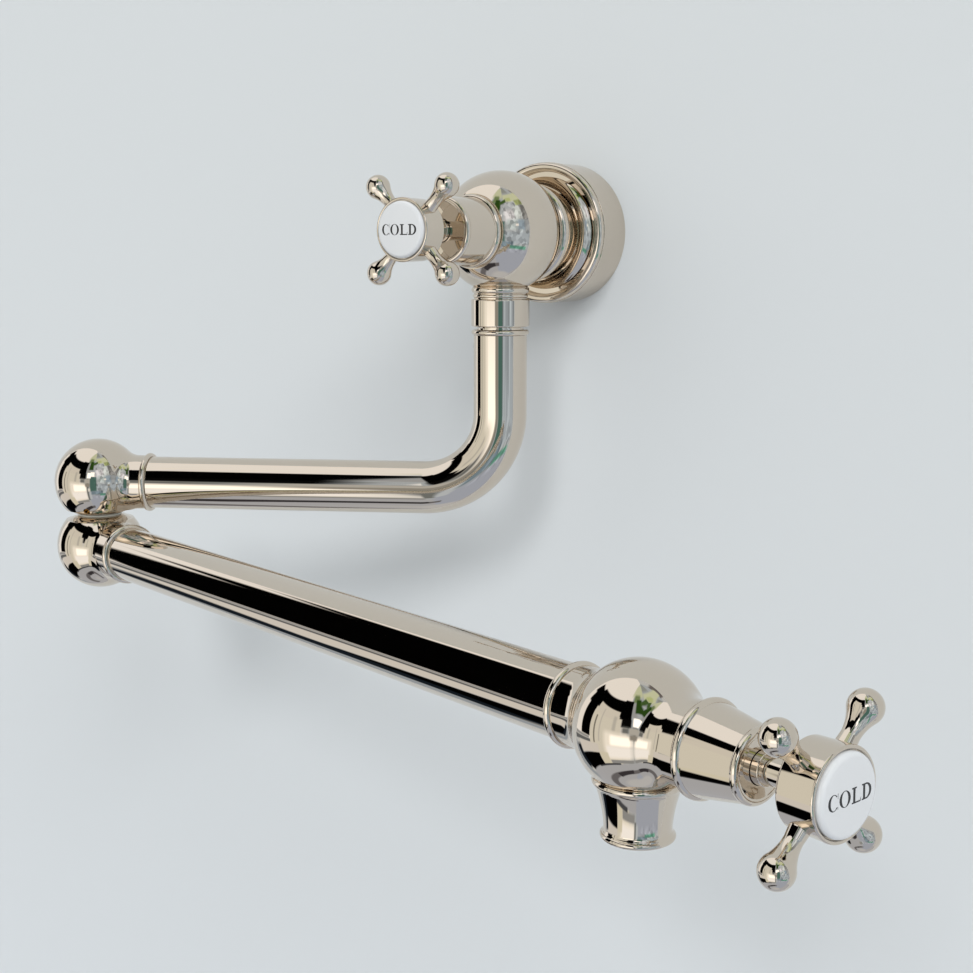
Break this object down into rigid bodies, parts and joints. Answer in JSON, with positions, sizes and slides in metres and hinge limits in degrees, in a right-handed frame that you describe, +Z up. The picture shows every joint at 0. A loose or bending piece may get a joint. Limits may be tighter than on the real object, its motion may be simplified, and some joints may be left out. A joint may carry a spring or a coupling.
{
  "type": "wall mounted pot filler",
  "caption": "Wall mounted pot filler tap: jointed swinging arm of round tube with ball knuckles, a round wall rose, cross handles with porcelain index discs and a short spout.",
  "frame": {"origin": "centre of the wall rose's back face, on the inlet pipe's axis, in the plane of the finished wall", "axes": "+Y into the wall along the inlet pipe, +Z up, +X to the right as seen from the room facing the wall"},
  "size_m": [0.4572, 0.3102, 0.2206],
  "materials": {
    "nickel": "polished nickel plate",
    "brass": "turned",
    "rubber": "matt black",
    "fibre": "red fibre",
    "acetal": "natural acetal",
    "grey_plastic": "moulded grey",
    "ceramic": "lapped ceramic",
    "porcelain": "white glaze",
    "steel": "stainless"
  },
  "bodies": {
    "wall_valve": {"inlet_tail": "brass", "tail_washer": "fibre", "wall_rose": "nickel", "rose_gasket": "rubber", "rose_collar": "nickel", "collar_screw": "steel", "valve_body": "nickel", "inlet_bonnet": "nickel", "inlet_cartridge": "brass", "inlet_cartridge_ring": "rubber", "inlet_seat_seal": "rubber", "inlet_fixed_disc": "ceramic", "swivel_collar": "nickel", "glide_washer": "acetal"},
    "upper_arm": {"swivel_tail": "nickel", "swivel_seals": "rubber", "base_bead": "nickel", "upper_tube": "nickel", "upper_ferrule": "nickel", "upper_knuckle": "nickel", "pivot_screw": "steel"},
    "lower_arm": {"lower_knuckle": "nickel", "pivot_spigot": "brass", "pivot_seals": "rubber", "pivot_glide_ring": "acetal", "lower_ferrule": "nickel", "lower_tube": "nickel", "outlet_ferrule": "nickel", "outlet_body": "nickel", "outlet_bonnet": "nickel", "outlet_cartridge": "brass", "outlet_cartridge_ring": "rubber", "outlet_seat_seal": "rubber", "outlet_fixed_disc": "ceramic", "nozzle": "nickel", "aerator_washer": "rubber", "aerator_housing": "grey_plastic", "aerator_screen": "steel"},
    "inlet_handle": {"inlet_spindle": "nickel", "inlet_spindle_seals": "rubber", "inlet_spindle_clip": "steel", "inlet_moving_disc": "ceramic", "inlet_hub": "nickel", "inlet_cross_arms": "nickel", "inlet_handle_screw": "steel", "inlet_index_disc": "porcelain"},
    "outlet_handle": {"outlet_spindle": "nickel", "outlet_spindle_seals": "rubber", "outlet_spindle_clip": "steel", "outlet_moving_disc": "ceramic", "outlet_hub": "nickel", "outlet_cross_arms": "nickel", "outlet_handle_screw": "steel", "outlet_index_disc": "porcelain"}
  },
  "joints": [
    {"name": "base_swivel", "type": "hinge", "parent": "wall_valve", "child": "upper_arm", "pos_m": [0, -0.0575, -0.037], "axis": [0, 0, 1], "range_deg": [-27.8, 152.2]},
    {"name": "elbow_swivel", "type": "hinge", "parent": "upper_arm", "child": "lower_arm", "pos_m": [-0.17515, -0.14985, -0.1358], "axis": [0, 0, 1], "range_deg": [-316.3, 43.7]},
    {"name": "inlet_turn", "type": "hinge", "parent": "wall_valve", "child": "inlet_handle", "pos_m": [0, -0.1242, 0], "axis": [0, -1, 0], "range_deg": [0, 90]},
    {"name": "outlet_turn", "type": "hinge", "parent": "lower_arm", "child": "outlet_handle", "pos_m": [0.24956, -0.27082, -0.1516], "axis": [0.9617, -0.274, 0], "range_deg": [0, 90]}
  ]
}
